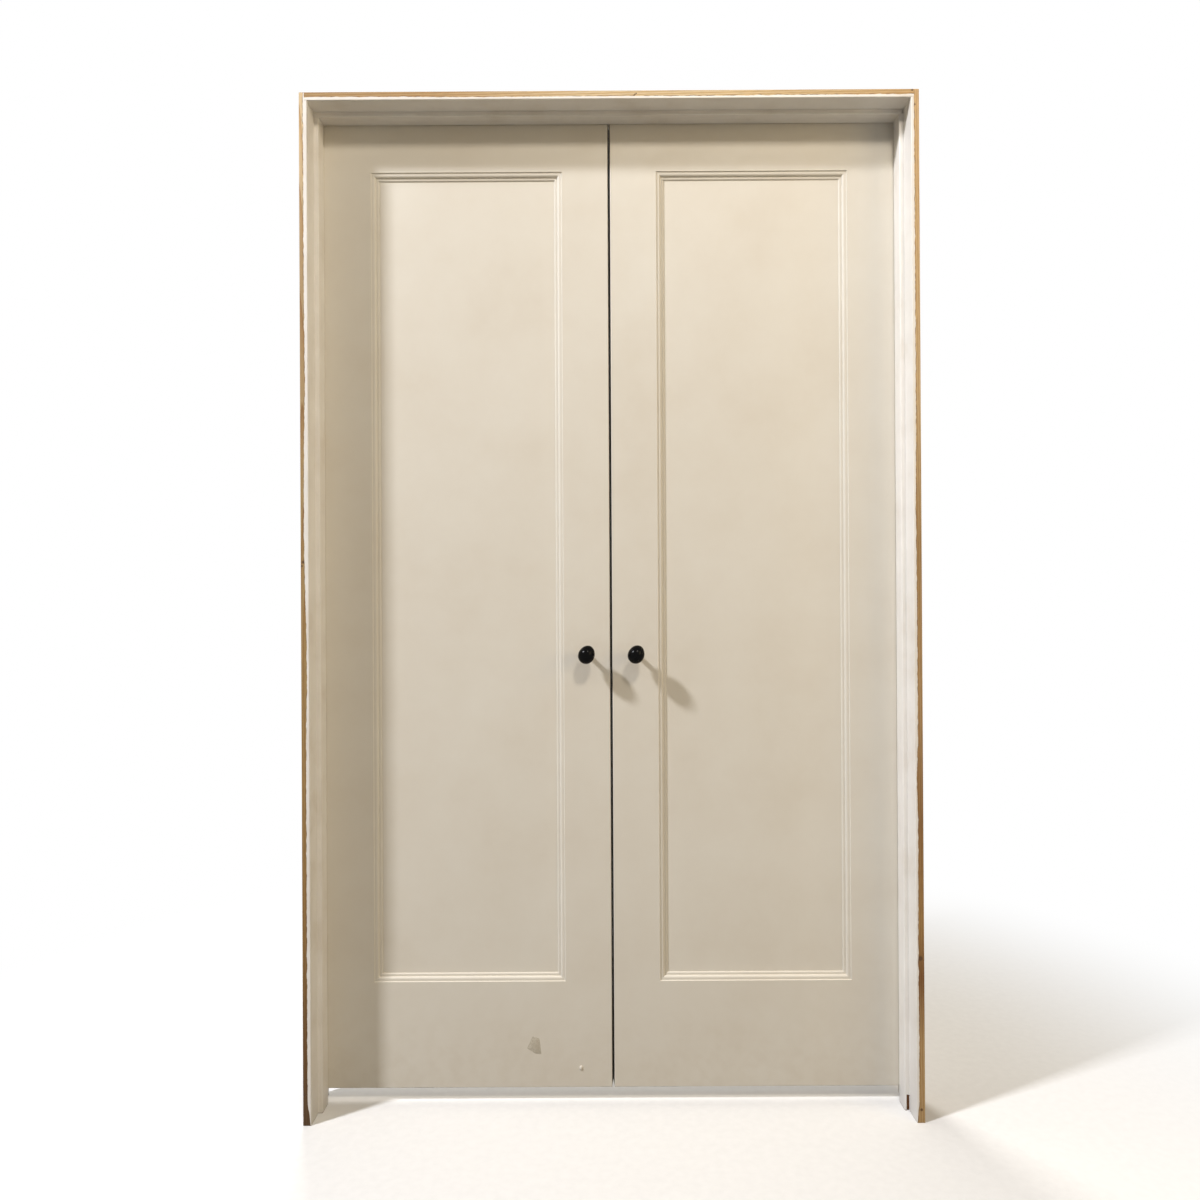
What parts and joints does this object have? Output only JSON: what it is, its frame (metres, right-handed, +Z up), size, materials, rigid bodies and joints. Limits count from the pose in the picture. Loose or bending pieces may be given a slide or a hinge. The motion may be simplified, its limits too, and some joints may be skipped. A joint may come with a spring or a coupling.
{
  "type": "french doors",
  "caption": "French doors: a pair of moulded panel leaves with egg knobs on butt hinges in a flat wooden frame with stops.",
  "frame": {"origin": "centre of the bounding box on the floor, level with the feet of the jambs", "axes": "+X along the width to the right as seen from the push side, +Y from the push side to the pull side, +Z up"},
  "size_m": [1.251, 0.172, 2.082],
  "materials": {
    "cream_paint": "satin cream paint on pressed fibreboard",
    "jamb_pine": "cream paint on the inner faces, raw pine on the edges",
    "stop_paint": "satin cream paint",
    "raw_pine": "bare planed pine",
    "card": "plain card",
    "black_enamel": "satin black",
    "hinge_steel": "satin nickel",
    "spring_steel": "bright"
  },
  "bodies": {
    "frame": {"left_side_jamb": "jamb_pine", "right_side_jamb": "jamb_pine", "head_jamb": "jamb_pine", "left_stop": "stop_paint", "right_stop": "stop_paint", "head_stop": "stop_paint", "corner_nails": "hinge_steel", "frame_hinge_screws": "hinge_steel", "strike_screws": "hinge_steel", "left_catch_strike": "hinge_steel", "left_top_hinge_frame_plate": "hinge_steel", "left_top_hinge_pin": "hinge_steel", "left_middle_hinge_frame_plate": "hinge_steel", "left_middle_hinge_pin": "hinge_steel", "left_bottom_hinge_frame_plate": "hinge_steel", "left_bottom_hinge_pin": "hinge_steel", "right_catch_strike": "hinge_steel", "right_top_hinge_frame_plate": "hinge_steel", "right_top_hinge_pin": "hinge_steel", "right_middle_hinge_frame_plate": "hinge_steel", "right_middle_hinge_pin": "hinge_steel", "right_bottom_hinge_frame_plate": "hinge_steel", "right_bottom_hinge_pin": "hinge_steel"},
    "left_leaf": {"left_front_skin": "cream_paint", "left_back_skin": "cream_paint", "left_hinge_stile": "raw_pine", "left_meeting_stile": "raw_pine", "left_top_rail": "raw_pine", "left_bottom_rail": "raw_pine", "left_knob_block": "raw_pine", "left_core": "card", "left_hinge_screws": "hinge_steel", "left_front_knob": "black_enamel", "left_back_knob": "black_enamel", "left_knob_stud": "hinge_steel", "left_catch_tube": "hinge_steel", "left_catch_spring": "spring_steel", "left_top_hinge_leaf_plate": "hinge_steel", "left_middle_hinge_leaf_plate": "hinge_steel", "left_bottom_hinge_leaf_plate": "hinge_steel"},
    "left_ball": {"left_catch_ball": "spring_steel"},
    "right_leaf": {"right_front_skin": "cream_paint", "right_back_skin": "cream_paint", "right_hinge_stile": "raw_pine", "right_meeting_stile": "raw_pine", "right_top_rail": "raw_pine", "right_bottom_rail": "raw_pine", "right_knob_block": "raw_pine", "right_core": "card", "right_hinge_screws": "hinge_steel", "right_front_knob": "black_enamel", "right_back_knob": "black_enamel", "right_knob_stud": "hinge_steel", "right_catch_tube": "hinge_steel", "right_catch_spring": "spring_steel", "right_top_hinge_leaf_plate": "hinge_steel", "right_middle_hinge_leaf_plate": "hinge_steel", "right_bottom_hinge_leaf_plate": "hinge_steel"},
    "right_ball": {"right_catch_ball": "spring_steel"}
  },
  "joints": [
    {"name": "left_leaf_swing", "type": "hinge", "parent": "frame", "child": "left_leaf", "pos_m": [-0.608, 0.0359, 1], "axis": [0, 0, 1], "range_deg": [0, 170]},
    {"name": "right_leaf_swing", "type": "hinge", "parent": "frame", "child": "right_leaf", "pos_m": [0.608, 0.0359, 1], "axis": [0, 0, -1], "range_deg": [0, 170]},
    {"name": "left_ball_press", "type": "slide", "parent": "left_leaf", "child": "left_ball", "axis": [0, 0, -1], "range_m": [0, 0.0038], "stiffness_N_per_m": 900, "springref_m": -0.004, "deforming": ["left_catch_spring"]},
    {"name": "right_ball_press", "type": "slide", "parent": "right_leaf", "child": "right_ball", "axis": [0, 0, -1], "range_m": [0, 0.0038], "stiffness_N_per_m": 900, "springref_m": -0.004, "deforming": ["right_catch_spring"]}
  ]
}
